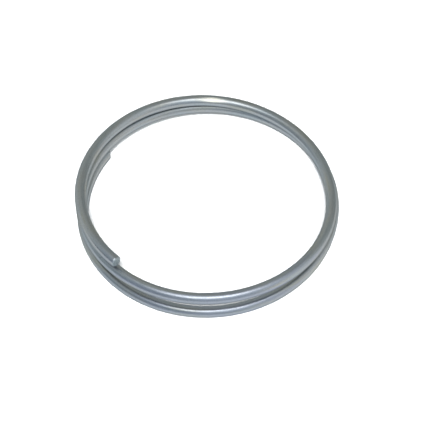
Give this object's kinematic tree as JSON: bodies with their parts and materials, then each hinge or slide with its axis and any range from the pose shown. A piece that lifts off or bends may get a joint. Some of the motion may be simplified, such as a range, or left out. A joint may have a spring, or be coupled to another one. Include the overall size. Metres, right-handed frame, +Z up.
{
  "type": "split key ring",
  "caption": "Split key ring of round spring wire wound in overlapping turns, with two cut ends that pry open so that a key slides in between the turns.",
  "frame": {"origin": "on the coil's axis, at the table that the ring lies on", "axes": "+Z up along the coil's axis; +X to the right and +Y to the back, with both cut ends on the left"},
  "size_m": [0.0301, 0.0301, 0.0055],
  "materials": {
    "plated_wire": "satin zinc-nickel plating over drawn spring wire"
  },
  "bodies": {
    "lower_leaf": {"lower_turn_8": "plated_wire", "lower_turn_9": "plated_wire", "overlap_1": "plated_wire", "overlap_2": "plated_wire"},
    "lower_flex_1": {"lower_turn_7": "plated_wire"},
    "lower_flex_2": {"lower_turn_6": "plated_wire"},
    "lower_flex_3": {"lower_turn_5": "plated_wire"},
    "middle": {"upper_turn_8": "plated_wire", "upper_turn_9": "plated_wire", "lower_turn_1": "plated_wire", "lower_turn_2": "plated_wire", "lower_turn_3": "plated_wire", "lower_turn_4": "plated_wire"},
    "upper_flex_1": {"upper_turn_7": "plated_wire"},
    "upper_flex_2": {"upper_turn_6": "plated_wire"},
    "upper_flex_3": {"upper_turn_5": "plated_wire"},
    "upper_leaf": {"upper_turn_1": "plated_wire", "upper_turn_2": "plated_wire", "upper_turn_3": "plated_wire", "upper_turn_4": "plated_wire"}
  },
  "joints": [
    {"name": "lower_split", "type": "hinge", "parent": "lower_leaf", "child": "lower_flex_1", "pos_m": [0.0077, -0.01211, 0.00065], "axis": [0.844, 0.5364, 0], "range_deg": [0, 2.69], "stiffness_Nm_per_rad": 6.052},
    {"name": "lower_twist_2", "type": "hinge", "parent": "lower_flex_1", "child": "lower_flex_2", "pos_m": [0.01371, -0.0043, 0.00065], "axis": [0.3119, 0.9501, 0], "range_deg": [0, 2.68]},
    {"name": "lower_twist_3", "type": "hinge", "parent": "lower_flex_2", "child": "lower_flex_3", "pos_m": [0.01346, 0.00565, 0.00072], "axis": [-0.375, 0.9268, 0.0202], "range_deg": [0, 2.06]},
    {"name": "lower_twist_4", "type": "hinge", "parent": "lower_flex_3", "child": "middle", "pos_m": [0.00661, 0.01293, 0.00105], "axis": [-0.8973, 0.4395, 0.0416], "range_deg": [0, 1.12]},
    {"name": "upper_twist_1", "type": "hinge", "parent": "middle", "child": "upper_flex_1", "pos_m": [0.008, -0.01191, 0.00304], "axis": [0.8294, 0.5569, -0.0439], "range_deg": [0, 1.12]},
    {"name": "upper_twist_2", "type": "hinge", "parent": "upper_flex_1", "child": "upper_flex_2", "pos_m": [0.01374, -0.00393, 0.00253], "axis": [0.2537, 0.9661, -0.0486], "range_deg": [0, 2.06]},
    {"name": "upper_split", "type": "hinge", "parent": "upper_flex_2", "child": "upper_flex_3", "pos_m": [0.01289, 0.00579, 0.00224], "axis": [-0.4084, 0.9128, -0.0015], "range_deg": [0, 2.68], "stiffness_Nm_per_rad": 6.106},
    {"name": "upper_twist_4", "type": "hinge", "parent": "upper_flex_3", "child": "upper_leaf", "pos_m": [0.00615, 0.0128, 0.00246], "axis": [-0.8959, 0.4422, 0.0428], "range_deg": [0, 2.69]}
  ],
  "couplings": [
    {"joint": "lower_twist_2", "follows": "lower_split", "ratio": 0.9956},
    {"joint": "lower_twist_3", "follows": "lower_split", "ratio": 0.7643},
    {"joint": "lower_twist_4", "follows": "lower_split", "ratio": 0.4153},
    {"joint": "upper_twist_1", "follows": "upper_split", "ratio": 0.4172},
    {"joint": "upper_twist_2", "follows": "upper_split", "ratio": 0.7677},
    {"joint": "upper_twist_4", "follows": "upper_split", "ratio": 1.0045}
  ]
}
